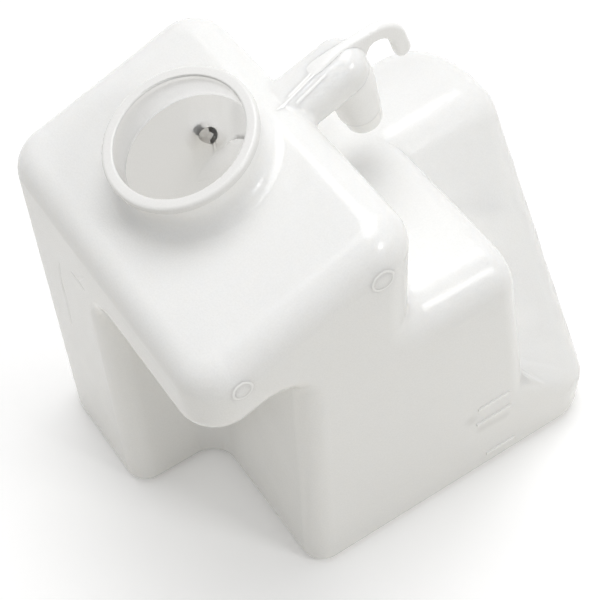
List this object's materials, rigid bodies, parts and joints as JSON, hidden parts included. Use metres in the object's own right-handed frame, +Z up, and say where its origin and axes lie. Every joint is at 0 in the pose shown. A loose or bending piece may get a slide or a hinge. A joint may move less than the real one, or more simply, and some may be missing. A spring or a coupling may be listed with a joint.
{
  "type": "coolant recovery tank",
  "caption": "Hollow blow-moulded overflow tank with a tall sloping filler box, open neck with lip, side arm with spout and hose hook, stepped shoulder and a notch below.",
  "frame": {"origin": "on the floor, in the middle of the rectangle round the tank's base, without the outlet on the back", "axes": "+Z up, +X from the filler box towards the lobe on the right, +Y from the front with the level marks to the back with the outlet"},
  "size_m": [0.195, 0.1608, 0.2111],
  "materials": {
    "milky_plastic": "milky white translucent polyethylene with a soft gloss"
  },
  "bodies": {
    "root": {"tank": "milky_plastic"}
  },
  "joints": []
}
